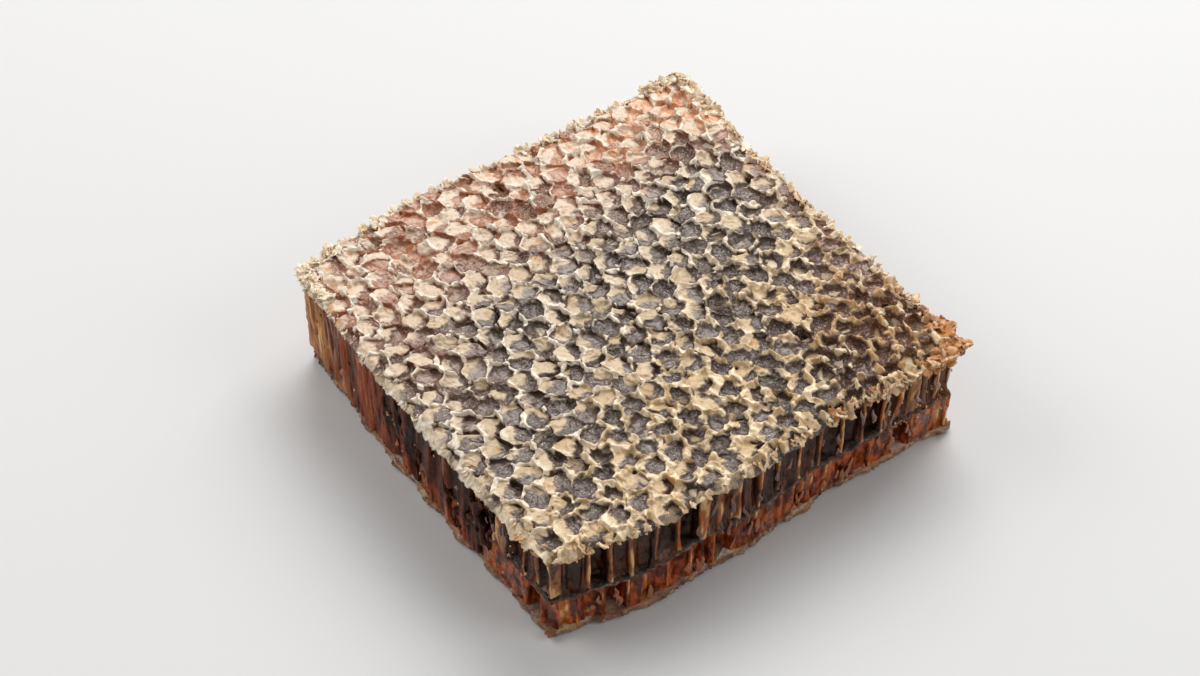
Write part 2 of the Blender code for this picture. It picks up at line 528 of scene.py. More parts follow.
def smearedHoney():
    # amber where light comes through at the back, then red, then nearly black, in streaks that run down
    made, tree = newMaterial("smearedHoney")
    parts = axes(tree)
    broad = speckle(tree, 3.2 * mm, 3.0, stretch=(1, 1, 0.12))
    streaks = speckle(tree, 0.9 * mm, 4.0, stretch=(1, 1, 0.10))
    tone = plus(times(streaks, 0.6), times(broad, 0.4))
    tone = plus(tone, times(attribute(tree, "fold"), 0.12))
    along = plus(parts["Y"], times(broad, 0.045))
    dark = ((0.018, 0.004, 0.001), (0.42, 0.58, (0.10, 0.022, 0.006)), (0.58, 0.72, (0.28, 0.13, 0.08)))
    red = ((0.060, 0.009, 0.002), (0.42, 0.58, (0.27, 0.048, 0.008)), (0.60, 0.72, (0.42, 0.18, 0.08)))
    amber = ((0.15, 0.032, 0.006), (0.40, 0.58, (0.40, 0.155, 0.038)), (0.58, 0.70, (0.66, 0.42, 0.19)))
    dark, red, amber = (stepped(tone, *steps) for steps in (dark, red, amber))
    low = spread(parts["Z"], 0.012, 0.006, 0.030)
    surface = stepped(plus(along, low), dark, (0.022, 0.034, red))
    surface = stepped(along, surface, (0.046, 0.058, amber))
    return setLook(made, {
        "Base Color": surface,
        "Roughness": 0.34,
        "Specular IOR Level": 0.10,
        "Specular Tint": honeyTint,
        "Coat Weight": 0.09,
        "Coat Roughness": 0.06,
        **lightInside(0.25, honeyGlow, 1.5),
    }, [(streaks, 0.35 * mm), (speckle(tree, 0.5 * mm), 0.12 * mm)])


def drippingHoney():
    made, tree = newMaterial("drippingHoney")
    low = spread(axes(tree)["Z"], 0.0095, 0.0080, 0.7)
    honey = mix(speckle(tree, 4.0 * mm), (0.035, 0.007, 0.002), (0.16, 0.035, 0.006))
    # paler orange where painted light comes through at the back, and low down
    honey = mix(larger(paintedBacklight(tree), low), honey, (0.42, 0.11, 0.015))
    return setLook(made, {
        "Base Color": honey,
        "Roughness": 0.08,
        "Coat Weight": 1.0,
        "Coat Roughness": 0.03,
        **lightInside(0.3, honeyGlow, 1.0),
    })


def midribWax():
    # pale at its cut edge, under a film of dark honey above
    made, tree = newMaterial("midribWax")
    backlitShare = paintedBacklight(tree)
    # the honey and the pale edge are redder where painted light comes through at the back
    honey = mix(backlitShare, (0.022, 0.006, 0.002), (0.30, 0.10, 0.025))
    spots = speckle(tree, 1.0 * mm)
    pale = stepped(spots, (0.05, 0.022, 0.012), (0.4, 0.7, (0.34, 0.23, 0.16)))
    red = mix(spots, (0.06, 0.012, 0.003), (0.30, 0.10, 0.025))
    pale = stepped(axes(tree)["X"], pale, (-0.035, -0.045, red))
    pale = mix(backlitShare, pale, (0.50, 0.27, 0.10))
    ragged = plus(attribute(tree, "rim"), speckle(tree, 0.9 * mm, 4.0))
    return setLook(made, {
        "Base Color": stepped(ragged, honey, (1.25, 1.65, pale)),
        "Roughness": 0.35,
        "Specular IOR Level": 0.3,
        "Coat Weight": 0.06,
        "Coat Roughness": 0.10,
        **lightInside(0.2, (1.0, 0.4, 0.15), 1.0),
    }, [(speckle(tree, 0.8 * mm), 0.3 * mm)])


def soakedWax():
    made, tree = newMaterial("soakedWax")
    patches = spread(speckle(tree, 4.0 * mm, 5.0), 0.35, 0.65)
    cap = mix(patches, (0.13, 0.030, 0.006), (0.34, 0.13, 0.035))
    cap = stepped(speckle(tree, 1.5 * mm, 4.0), cap, (0.55, 0.75, (0.055, 0.016, 0.005)))
    rims = times(attribute(tree, "rim"), spread(speckle(tree, 1.2 * mm), 0.35, 0.6))
    return setLook(made, {
        "Base Color": mix(rims, cap, (0.50, 0.33, 0.16)),
        "Roughness": mixValue(patches, 0.18, 0.42),
        "Coat Weight": 0.5,
        "Coat Roughness": 0.08,
        **lightInside(0.2, (1.0, 0.4, 0.15), 1.5),
    }, [(speckle(tree, 1.2 * mm), 0.3 * mm), (speckle(tree, 0.4 * mm), 0.08 * mm)])


# Pieces

def meshFrom(name, bm):
    mesh = bpy.data.meshes.new(name)
    bm.to_mesh(mesh)
    bm.free()
    return mesh


def addObject(name, data):
    made = bpy.data.objects.new(name, data)
    bpy.context.scene.collection.objects.link(made)
    return made


def addPiece(name, bm, material, replaced=()):
    bmesh.ops.recalc_face_normals(bm, faces=bm.faces)
    mesh = meshFrom(name, bm)
    mesh.shade_smooth()
    mesh.materials.append(material)
    made = addObject(name, mesh)
    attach(made, "root")
    if replaced:
        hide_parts(*replaced)
    print(f"{name}: {sum(len(p.vertices) - 2 for p in mesh.polygons)} triangles")


topSheet = {
    "rows": 16,                   # rings of triangles from the middle of a cell to its rim
    "depth": 1.0 * mm,            # how far the closed underside lies below the caps
    "tornSheetDepth": 1.6 * mm,
    "crowding": 1.3,              # how much closer the rings lie towards the rim
    "bands": 6,                   # the sheet is made in bands, front to back, that meet along rows of rims
    "rimHeight": 1.05 * mm,
    "rimWidth": 0.38 * mm,
    "peakHeight": 0.55 * mm,
    "capStand": 0.20 * mm,        # how far the middle of a dry cap stands up
    "capDrop": 0.60 * mm,         # how much higher it is at the left
    "dome": 0.45 * mm,            # its dry part bulges
    "sunk": 0.95 * mm,            # how far its soaked part has sunk
    "dish": 0.85 * mm,
    "pearlShare": 0.16,           # a small bubble under the wax of these keeps it dry and round
    "pearl": 0.85 * mm,
    "crevice": 0.95 * mm,
    "tornDepth": 1.25 * mm,
    "lean": 0.32,                 # the wax leans over its low neighbour as it rises
    "dryShare": 0.84,
}
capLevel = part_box("upper_capping")[0].z + 1.2 * mm


def thickness(p):
    # the rims are thin at the back and left, and thick and creamy at the front and right
    return ramp(0.45 * p.x - p.y + 14 * mm * wander(p, 12 * mm, 29.0), -4 * mm, 38 * mm)


def wetness(p):
    # towards the right corner the wax is soaked through and broken up
    ragged = 6 * mm * wander(p, 7 * mm, 27.0)
    return ramp(p.x + ragged, 12 * mm, 30 * mm) * ramp(-p.y + ragged, 18 * mm, 34 * mm)


def dryness(middle):
    # more caps are dry at the left, at the front corner and along the cuts, fewer at the right
    share = topSheet["dryShare"] + 0.20 * wander(middle, 14 * mm, 21.0)
    share += 0.12 * ramp(-middle.x, 15 * mm, 50 * mm)
    share += 0.30 * ramp(-middle.y - 0.5 * middle.x, 35 * mm, 70 * mm)
    share -= 0.20 * ramp(middle.x - 0.4 * middle.y, 15 * mm, 55 * mm) + 0.40 * thickness(middle)
    return share - 0.25 * wetness(middle)


def capEdges(rng, slopeWay):
    # the lid of a cell is a polygon: straight edges about the middle, each as (direction, distance), which run
    # into the rims, or stop short of them and leave a crevice, mostly on the far side
    edges = []
    for i in range(6):
        angle = comb["rowTilt"] + i * math.pi / 3 + rng.gauss(0, 0.22)
        reach = rng.uniform(0.82, 1.18)
        reach -= rng.uniform(0.0, 0.34) * max(0.0, math.cos(angle - slopeWay - 0.4))
        edges.append((wayTo(angle), reach * apothem))
    return edges


def chooseCaps():
    # how each cap has set: a dry lid slopes down from the rims at the left and has soaked from its low side,
    # the others have soaked right through and sunk
    rng = random.Random("caps")
    caps = []
    for middle in upperMiddles:
        torn = isTorn(middle)
        chance = rng.random()
        slopeWay = rng.gauss(math.radians(22), 0.5)
        caps.append({
            "dry": 0.0 if torn else ramp(dryness(middle) - chance, -0.03, 0.06),
            "torn": torn,
            "edges": capEdges(rng, slopeWay),
            "slope": wayTo(slopeWay),
            "drop": topSheet["capDrop"] * rng.uniform(0.4, 1.5),
            "stand": topSheet["capStand"] * rng.uniform(-1.0, 2.2),
            "dome": topSheet["dome"] * rng.uniform(-0.5, 1.4),
            "soakWay": wayTo(rng.gauss(math.radians(-50), 0.55)),
            "soakFrom": rng.triangular(-0.75, 0.75, -0.10) - 0.2 * thickness(middle),
            "sunk": topSheet["sunk"] * (max(0.0, rng.uniform(-0.4, 1.2)) + 0.3 * thickness(middle)),
            "dish": topSheet["dish"] * (rng.uniform(0.4, 1.5) + 0.6 * wetness(middle)),
            "crevice": topSheet["crevice"] * rng.uniform(0.4, 1.2),
            "pearl": rng.random() < topSheet["pearlShare"] * (1 - thickness(middle)),
            "pearlAt": wayTo(rng.gauss(math.radians(120), 0.7)) * rng.uniform(0.35, 0.60) * apothem,
            "pearlSize": rng.uniform(0.60, 0.95) * apothem,
            "pearlHeight": topSheet["pearl"] * rng.uniform(0.6, 1.4),
            "tone": rng.random(),
            "rough": ramp(rng.random() + 0.35 * thickness(middle) + 0.5 * wetness(middle), 0.50, 0.65),
        })
    return caps


caps = chooseCaps()


def rimPresence(p, thick, wet):
    # how much wax stands on the rims here
    share = 0.42 + 0.40 * thick + 0.9 * wander(p, 3.3 * mm, 3.1) + 0.4 * wander(p, 1.2 * mm, 4.1)
    return ramp(share + wet * (1.2 * wander(p, 1.8 * mm, 5.1) - 0.32), 0.0, 1.0)


def lidAt(cap, p, middle, broad, fine):
    # the height of a cell's lid over capLevel, its share there, how dry it is and how high it lies, which sets
    # a painted highlight on its high side
    away = p - middle
    if cap["torn"]:
        return -topSheet["tornDepth"], 1.0, 0.0, 0.0
    edge = max(away.dot(way) / reach for way, reach in cap["edges"]) + 0.09 * broad + 0.07 * fine
    falling = away.dot(cap["slope"]) / apothem
    film = -cap["dish"] * (1 - min(1.0, edge) ** 2) * (1 + 0.3 * broad) - 0.4 * cap["drop"] * falling
    if cap["pearl"]:
        off = (away - cap["pearlAt"]).length / cap["pearlSize"] * (1 + 0.25 * broad + 0.12 * fine)
        high = ramp(-(away - cap["pearlAt"]).dot(cap["slope"]) / cap["pearlSize"], 0.0, 0.8)
        pearl = cap["pearlHeight"] * (1 - min(1.0, off) ** 2) ** 0.7
        return film + pearl, 1.0, 1 - ramp(off, 0.70, 1.10), high
    soaking = away.dot(cap["soakWay"]) / apothem + 0.30 * broad + 0.14 * fine - cap["soakFrom"]
    top = cap["stand"] - cap["drop"] * falling + cap["dome"] * (1 - min(1.0, edge) ** 2)
    top -= cap["sunk"] * ramp(soaking, -0.05, 0.30)
    top = cap["dry"] * top + (1 - cap["dry"]) * film
    lid = 1 - cap["dry"] * ramp(edge, 0.98, 1.08)
    dry = lid * cap["dry"] * (1 - ramp(soaking, -0.40, 0.25))
    return top, lid, dry, ramp(-falling, 0.2, 0.8)


def topHeight(p):
    # the height of the cappings over capLevel, and the shares of dry wax, cream with painted highlight, tone,
    # painted shade and roughness
    found = upperTree.find_n((*p, 0), 3)
    middle, cap = Vector(found[0][0][:2]), caps[found[0][1]]
    local = turnIn @ (p - middle)
    toRim = (1 - min(1.0, hexShare(local))) * apothem
    thick, wet = thickness(p), wetness(p)
    presence = rimPresence(p, thick, wet)
    broad, fine = wander(p, 1.6 * mm, 1.3), wander(p, 0.6 * mm, 2.2)
    top, lid, dry, high = lidAt(cap, p, middle, broad, fine)
    high *= dry
    own = -cap["crevice"] + (top + cap["crevice"]) * lid
    rimWidth = topSheet["rimWidth"] * (1.15 + 1.15 * thick) * (1 + 0.8 * wander(p, 1.7 * mm, 18.0))
    ridge = math.exp(-(toRim / rimWidth) ** 2)
    height = own
    if ridge > 0.01:
        level = 0.0
        for spot, i, distance in found:
            share = 1 - ramp(distance - found[0][2], 0.0, 0.9 * mm)
            if share > 0:
                itsTop, itsLid = lidAt(caps[i], p, Vector(spot[:2]), broad, fine)[:2]
                level = max(level, share * itsLid * itsTop)
        standing = presence * (0.72 + 0.3 * wet + 0.9 * wander(p, 1.1 * mm, 6.3))
        brokenUp = wet * (0.45 + 1.4 * wander(p, 2.0 * mm, 9.2))
        rimTop = topSheet["rimHeight"] * max(standing, brokenUp)
        level = max(0.6 * level + 0.6 * rimTop, level, rimTop)
        height += (level - own) * ridge
    corner = cornerShare(local) * ramp(wander(p, 2.4 * mm, 8.4), -0.2, 0.6)
    height += topSheet["peakHeight"] * (1 + 0.8 * wet) * corner
    height += (0.19 + 0.15 * wet) * mm * broad + 0.12 * mm * fine
    onRim = presence * ramp(ridge, 0.20, 0.65)
    peak = ramp(corner, 0.2, 0.7)
    dry = max(dry, onRim, peak)
    # cream on rims and peaks: pale wax and a painted highlight; the high side of a dry lid gets a painted
    # highlight as well
    creamAndHighlight = max(onRim, peak) * (1 - 0.75 * thick * ramp(0.6 + broad, 0.3, 0.8))
    # painted shade on the flanks of rims and where a lid stops short of them, kept off the crests
    flank = ramp(ridge, 0.03, 0.20) * (1 - dry) * (1 - high)
    shade = max(1 - lid, 0.8 * flank) * (1 - ramp(max(creamAndHighlight, onRim), 0.2, 0.6))
    return height, dry, max(creamAndHighlight, 0.55 * high), cap["tone"], shade, cap["rough"]


def warped(p):
    wide = Vector((wander(p, 6 * mm, 11.0), wander(p, 6 * mm, 12.0))) * 0.75 * mm
    fine = Vector((wander(p, 1.6 * mm, 13.0), wander(p, 1.6 * mm, 14.0))) * 0.28 * mm
    return p + wide + fine


def edgeReach(p, out):
    # how far the wax reaches past the cut: a wide lip along the left and round the front corner
    left = ramp(-out.x, 0.3, 0.9) * ramp(30 * mm - p.y, 0.0, 15 * mm)
    corner = ramp(-p.y - 0.6 * p.x, 40 * mm, 62 * mm)
    back = ramp(max(out.y, out.x - 0.1), 0.3, 0.9)
    wide = 0.5 + 0.6 * wander(p, 7 * mm, 23.0)
    return 0.5 * mm + 0.8 * mm * max(0.0, min(1.0, wide)) * max(left, 0.7 * corner, 0.75 * back)


def droop(p, z):
    # wax past the cut bends down over it
    outside = max(0.0, 0.6 * mm - depthInside(p))
    return z - 0.8 * outside - 180 * outside ** 2


wellInside = {"x": 42 * mm, "front": -41 * mm, "back": 34 * mm}


def nearTheCut(p):
    # a quick test, which leaves out what is too far inside to need the distance to the cut
    return abs(p.x) > wellInside["x"] or not wellInside["front"] <= p.y <= wellInside["back"]


def addHexagons(bm, middles, rows):
    for middle in middles:
        spot = Matrix.Translation((*middle, 0)) @ Matrix.Rotation(comb["rowTilt"], 4, "Z")
        bmesh.ops.create_circle(bm, cap_ends=True, cap_tris=True, segments=6, radius=cellCorner, matrix=spot)
    bmesh.ops.remove_doubles(bm, verts=bm.verts, dist=0.05 * mm)
    bmesh.ops.subdivide_edges(bm, edges=bm.edges, cuts=rows - 1, use_grid_fill=True)


def addSheetBand(bm, middles):
    addHexagons(bm, middles, topSheet["rows"])
    layers = [bm.verts.layers.float.new(name) for name in ("wax", "creamAndHighlight", "tone", "shade", "rough")]
    leaning = wayTo(math.radians(200)) * topSheet["lean"]
    for vert in bm.verts:
        p = vert.co.xy
        middle, _, share = nearestCell(p, upperTree)
        if share > 0.01:
            crowded = 1 - (1 - min(share, 1)) ** topSheet["crowding"]
            p = middle + (p - middle) * crowded / share
        height, *shares = topHeight(p)
        for layer, value in zip(layers, shares):
            vert[layer] = value
        vert.co = (*(warped(p) + leaning * height), capLevel + height)


def trimToTheCut(bm):
    waxLayer, crestLayer, shadeLayer = (bm.verts.layers.float[name] for name in ("wax", "creamAndHighlight", "shade"))
    outside = []
    for face in bm.faces:
        p = face.calc_center_median().xy
        if nearTheCut(p):
            depth, out = toCut(p)
            tooth = 0.7 * wander(p, 2.4 * mm, 6.0) + 0.35 * wander(p, 0.9 * mm, 6.5)
            if depth < -edgeReach(p, out) * (1 + 0.7 * tooth) + 0.2 * mm * tooth:
                outside.append(face)
    bmesh.ops.delete(bm, geom=outside, context="FACES")
    for vert in bm.verts:
        p = vert.co.xy
        if nearTheCut(p):
            depth, out = toCut(p)
            reach = edgeReach(p, out)
            lip = ramp(reach, 0.6 * mm, 1.1 * mm) * (1 - ramp(depth, 0.2 * mm, 1.0 * mm))
            vert[waxLayer] = max(vert[waxLayer], lip * (1 + 0.3 * wander(p, 1.5 * mm, 17.0)))
            edgeCrest = 0.55 - 0.3 * ramp(depth, -0.3 * mm, 0.8 * mm)
            vert[crestLayer] = max(vert[crestLayer], lip * edgeCrest)
            # no painted shade on the lip
            vert[shadeLayer] *= 1 - lip
            lumps = 0.45 * mm + 0.65 * mm * wander(p, 2.1 * mm, 27.0) + 0.25 * mm * wander(p, 0.8 * mm, 28.0)
            vert.co.z = droop(p, vert.co.z + lip * (lumps - 0.8 * (vert.co.z - capLevel)))


def closeBelow(bm, floor):
    # the sheet gets a skirt and an underside
    for vert in vertsOf(bmesh.ops.extrude_edge_only(bm, edges=openEdges(bm))["geom"]):
        vert.co.z = min(vert.co.z - 0.35 * mm, floor)
        vert.co.xy -= toCut(vert.co.xy)[1] * 0.4 * mm
    bmesh.ops.holes_fill(bm, edges=openEdges(bm), sides=0)


def rowOf(middle):
    return round((turnIn @ middle).y / rowHeight)


def buildSheetPiece(name, middles, depth, material, replaced=()):
    bm = bmesh.new()
    addSheetBand(bm, middles)
    trimToTheCut(bm)
    closeBelow(bm, capLevel - depth)
    addPiece(name, bm, material, replaced)


def buildTopSheet():
    material = cappingWax()
    middles = [m for m in upperMiddles if not isTorn(m)]
    middles.sort(key=lambda m: round((turnIn @ m).y / mm))
    rows = sorted({rowOf(m) for m in middles})
    count = topSheet["bands"]
    for band in range(count):
        chosen = rows[band * len(rows) // count:(band + 1) * len(rows) // count]
        inBand = [m for m in middles if rowOf(m) in chosen]
        buildSheetPiece(f"cappings{band + 1}", inBand, topSheet["depth"], material, ["upper_capping"])
    torn = [m for m in upperMiddles if isTorn(m)]
    buildSheetPiece("tornCells", torn, topSheet["tornSheetDepth"], material)


edgeShards = {
    # for each stretch of the cut: its box in plan in mm, how many shards lie there, how long they are in mm,
    # how far they tilt down in degrees, how far below the cappings they start in mm, from cream 0 to amber 1
    "leftCorner": ((-60, -42, 32, 60), 120, (1.0, 3.4), (-60, 30), (-0.8, 0.6), (-0.2, 0.3)),
    "backEdge": ((-42, 44, 38, 60), 130, (0.8, 2.2), (-60, 20), (-0.6, 0.4), (-0.1, 0.35)),
    "backCorner": ((42, 60, 36, 60), 120, (1.0, 3.2), (-60, 40), (-0.8, 0.8), (-0.2, 0.6)),
    "rightEdge": ((40, 60, -36, 36), 110, (0.9, 2.6), (-50, 50), (-0.6, 0.8), (0.0, 0.6)),
    "rightCorner": ((38, 60, -60, -36), 50, (1.2, 3.2), (-60, 70), (-0.6, 2.5), (0.6, 1.1)),
    "tornFront": ((12, 46, -60, -45), 70, (1.0, 2.8), (0, 80), (0.2, 2.2), (0.25, 0.95)),
    "frontEdge": ((-36, 14, -60, -45), 50, (0.8, 2.4), (5, 65), (0.0, 1.2), (0.2, 0.8)),
    "frontCorner": ((-60, -34, -60, -40), 40, (0.8, 2.8), (0, 60), (0.0, 1.4), (0.2, 0.9)),
    "rightFlaps": ((40, 60, -60, -38), 9, (3.2, 5.0), (-50, 15), (-0.8, 0.6), (0.85, 1.2)),
    "frontFlakes": ((6, 36, -60, -45), 9, (2.4, 3.8), (-10, 35), (-0.4, 0.6), (0.2, 0.65)),
    "frontCrumbs": ((28, 60, -60, -44), 40, (0.2, 0.6), (0, 90), (8.0, 17.0), (0.3, 1.1)),
    "leftCrumbs": ((-60, -44, -42, 25), 36, (0.2, 0.6), (0, 90), (5.0, 20.0), (0.6, 1.1)),
    "leftEdge": ((-60, -44, -42, 30), 90, (0.6, 1.7), (10, 65), (0.2, 1.2), (0.0, 0.45)),
}
shardWidth = (0.5, 1.1)               # as a share of its length
shardThickness = (0.12, 0.30)         # in mm
stiffLength = 2 * mm                  # longer shards bend less
largeShard = 2.2 * mm


def pointOnCut(rng):
    # a random point along the cut, and the way out there
    lengths = [(end - knifeEdge[i - 1]).length for i, end in enumerate(knifeEdge)]
    i = rng.choices(range(len(knifeEdge)), lengths)[0]
    start, end = knifeEdge[i - 1], knifeEdge[i]
    along = (end - start).normalized()
    return start.lerp(end, rng.random()), Vector((along.y, -along.x))


def pointsInBox(rng, box, count):
    left, right, front, back = (value * mm for value in box)
    placed = 0
    while placed < count:
        p, out = pointOnCut(rng)
        if left < p.x < right and front < p.y < back:
            placed += 1
            yield p, out


def addShard(bm, matrix, length, width, thickness, bend, tone, seed):
    # a bent scrap of wax with a ragged outline, finer where it is large
    scrap = bmesh.new()
    cuts = 4 if length < largeShard else 8
    bmesh.ops.create_grid(scrap, x_segments=cuts, y_segments=cuts, size=0.5)
    for vert in scrap.verts:
        x, y = vert.co.xy
        ragged = 1 + 0.5 * wander((x, y), 0.45, seed) + 0.25 * wander((x, y), 0.16, seed + 3)
        rounded = ragged * (1 - 0.9 * (x * y) ** 2 * 4)
        z = bend * (x * x - 0.1) * length + 0.12 * length * wander((x, y), 0.4, seed + 9)
        vert.co = (x * length * rounded, y * width * rounded, z)
    bmesh.ops.solidify(scrap, geom=scrap.faces, thickness=thickness)
    bmesh.ops.recalc_face_normals(scrap, faces=scrap.faces)
    bmesh.ops.transform(scrap, matrix=matrix, verts=scrap.verts)
    tones = scrap.verts.layers.float.new("tone")
    for vert in scrap.verts:
        vert[tones] = tone
    mesh = meshFrom("scrap", scrap)
    bm.from_mesh(mesh)
    bpy.data.meshes.remove(mesh)


def buildEdgeShards():
    rng = random.Random("edge shards")
    bm = bmesh.new()
    bm.verts.layers.float.new("tone")
    for box, count, size, tilt, down, tone in edgeShards.values():
        for p, out in pointsInBox(rng, box, count):
            length = rng.uniform(*size) * mm
            p = p + out * rng.uniform(-1.2, 0.5) * mm
            z = capLevel - rng.uniform(*down) * mm
            falling = Matrix.Rotation(math.radians(rng.uniform(*tilt)), 4, "Y")
            turning = Matrix.Rotation(math.atan2(out.y, out.x) + rng.gauss(0, 0.6), 4, "Z")
            rolling = Matrix.Rotation(rng.gauss(0, 0.5), 4, "X")
            width, thick = length * rng.uniform(*shardWidth), rng.uniform(*shardThickness) * mm
            bend = rng.uniform(-0.4, 1.1) * min(1.0, stiffLength / length)
            matrix = Matrix.Translation((*p, z)) @ turning @ falling @ rolling
            addShard(bm, matrix, length, width, thick, bend, rng.uniform(*tone), rng.uniform(0, 100))
    addPiece("edgeShards", bm, shardWax())


cellWalls = {
    "step": 0.28 * mm,            # between the columns of vertices round the cut
    "rows": 30,
    "fillet": 1.0 * mm,           # a pocket rounds off this much at its floor and ceiling
    "retreat": 1.1 * mm,          # how far the torn edge of a wall stands back at most
}


def roundTheRing(bm, step):
    for edge in list(bm.edges):
        cuts = int(edge.calc_length() / step)
        if cuts:
            bmesh.ops.subdivide_edges(bm, edges=[edge], cuts=cuts)
    for _ in range(2):
        bmesh.ops.smooth_vert(bm, verts=bm.verts, factor=0.5, use_axis_x=True, use_axis_y=True)


def flatBase(nodeName, step):
    # the underside of a node as one flat face with a finely divided edge
    bm = mergedCopy(nodeName)
    base = baseFace(bm)
    bmesh.ops.delete(bm, geom=[f for f in bm.faces if f is not base], context="FACES")
    roundTheRing(bm, step)
    return bm


def raiseRing(bm, low, high, rows):
    ring = list(bm.edges)
    for vert in bm.verts:
        vert.co.z = low
    for row in range(1, rows + 1):
        raised = bmesh.ops.extrude_edge_only(bm, edges=ring)["geom"]
        ring = edgesOf(raised)
        for vert in vertsOf(raised):
            vert.co.z = low + (high - low) * row / rows
    bmesh.ops.edgeloop_fill(bm, edges=ring)


def buildCellWalls(name, nodeName, tree, look):
    low, high = (corner.z + extra for corner, extra in zip(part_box(nodeName), look["reach"]))
    bm = flatBase(nodeName, cellWalls["step"])
    outwardLayer = bm.verts.layers.float_vector.new("outward")
    wallLayer, cutLayer, hollowLayer = (bm.verts.layers.float.new(layer) for layer in ("wall", "cut", "hollow"))
    bottom = next(iter(bm.faces))
    side = -1 if bottom.normal.z < 0 else 1
    for loop in bottom.loops:
        along = (loop.link_loop_next.vert.co - loop.link_loop_prev.vert.co).xy.normalized()
        p = loop.vert.co.xy
        depth, out = toCut(p)
        cut = 1 - ramp(depth, 0.6 * mm, 1.3 * mm)
        outward = (Vector((along.y, -along.x)) * side).lerp(out, cut).normalized()
        _, cell, share = nearestCell(p, tree)
        share = min(1.0, share)
        hollow = random.Random(f"{name} {cell}").uniform(*look["hollow"]) * mm
        loop.vert[hollowLayer] = hollow * (1 - share ** 4) * 1.3
        loop.vert[outwardLayer] = (*outward, 0)
        loop.vert[wallLayer] = cut * ramp(share, *look["finWidth"])
        loop.vert[cutLayer] = cut
    raiseRing(bm, low, high, cellWalls["rows"])
    for vert in bm.verts:
        outward = Vector(vert[outwardLayer]).xy
        wall, cut, hollow = vert[wallLayer], vert[cutLayer], vert[hollowLayer]
        p, z = vert.co.xy, vert.co.z
        ends = math.exp(-(z - low) / (0.9 * mm)) + 0.6 * math.exp(-(high - z) / (0.7 * mm))
        wave = solidNoise(p, z, 2.5 * mm, 8 * mm)
        ripple = solidNoise(p, z, 1.2 * mm, 2 * mm, 7)
        torn = solidNoise(p, z, 1.0 * mm, 4.5 * mm, 31) + 0.35 * solidNoise(p, z, 0.7 * mm, 1.3 * mm, 32)
        pocket = cellWalls["fillet"] * ends + 0.35 * mm * wave + 0.15 * mm * ripple
        fin = -cellWalls["retreat"] * max(0.0, 0.25 + 1.3 * wave) + 0.28 * mm * torn
        honey = -hollow * (1 - min(1.0, ends)) + 0.45 * mm * wave + 0.25 * mm * ripple
        face = wall * fin + (1 - wall) * honey
        vert.co.xy = p + outward * (cut * face + (1 - cut) * pocket)
        vert[wallLayer] = wall * (0.75 + 0.9 * torn) + 0.25 * ends * cut
    addPiece(name, bm, cellWallLook(name + "Wax", look), [nodeName])


leftSmear = {
    # honey and soaked wax dragged down over the left cut by the knife, from back to front
    "along": (-45 * mm, 43.5 * mm),
    "up": (2.2 * mm, 23.2 * mm),
    "step": 0.33 * mm,
    "thickness": 1.6 * mm,
    "stand": 0.05 * mm,           # how far it stands off the cut
    "startX": -57 * mm,           # outside the comb: its points move in from here to the cut
    "fold": 0.75 * mm,
    "ripple": 0.25 * mm,
}


def smearHeight(p, z):
    # how far the smear stands off the cut, how high that is on its folds, and whether there is any here
    fold = solidNoise(p, z, 2.8 * mm, 22 * mm, 60) + 0.5 * solidNoise(p, z, 1.5 * mm, 9 * mm, 65)
    ripple = solidNoise(p, z, 0.75 * mm, 5 * mm, 61) + 0.5 * solidNoise(p, z, 0.5 * mm, 1.2 * mm, 62)
    ragged = solidNoise(p, z, 3.5 * mm, 12 * mm, 63) + 0.5 * solidNoise(p, z, 1.2 * mm, 3 * mm, 64)
    front = p.y + 11 * mm * ragged + 28 * mm
    bottom = z + 1.6 * mm * ragged - 2.8 * mm
    hole = ragged - 0.25 * ramp(p.y, -10 * mm, 15 * mm)
    height = leftSmear["stand"] + leftSmear["fold"] * fold + leftSmear["ripple"] * ripple
    return height, fold + 0.4 * ripple, front > 0 and bottom > 0 and hole < 0.42


def buildLeftSmear():
    low, high = leftSmear["up"]
    front, back = leftSmear["along"]
    bm = bmesh.new()
    columns, rows = (int(length / leftSmear["step"]) for length in (back - front, high - low))
    bmesh.ops.create_grid(bm, x_segments=columns, y_segments=rows, size=0.5)
    foldLayer = bm.verts.layers.float.new("fold")
    gone = []
    for vert in bm.verts:
        start = Vector((leftSmear["startX"], front + (vert.co.x + 0.5) * (back - front)))
        z = low + (vert.co.y + 0.5) * (high - low)
        depth, out = toCut(start)
        p = start + out * depth
        height, vert[foldLayer], there = smearHeight(p, z)
        vert.co = (*(p + out * height), z)
        if not there:
            gone.append(vert)
    bmesh.ops.delete(bm, geom=gone, context="VERTS")
    behind = bmesh.ops.extrude_face_region(bm, geom=list(bm.faces), use_keep_orig=True)["geom"]
    for vert in vertsOf(behind):
        vert.co.x += leftSmear["thickness"]
    addPiece("leftSmear", bm, smearedHoney())


honeyDrips = {
    # for each stretch of the cut: its box in plan in mm, how many drips hang there, how long and wide they are
    # and how high above the floor they hang, all in mm
    "front": ((-20, 47, -60, -45), 26, (1.5, 7.0), (0.35, 0.9), (9.5, 19.0)),
    "frontLow": ((-45, 47, -60, -45), 34, (1.2, 4.5), (0.4, 1.1), (3.0, 8.0)),
    "left": ((-60, -44, -45, 20), 24, (1.5, 5.5), (0.35, 0.8), (4.0, 18.0)),
    "right": ((40, 60, -45, 45), 22, (1.5, 5.5), (0.35, 0.9), (4.0, 18.0)),
    "back": ((-45, 45, 38, 60), 22, (1.5, 5.5), (0.35, 0.9), (4.0, 18.0)),
}


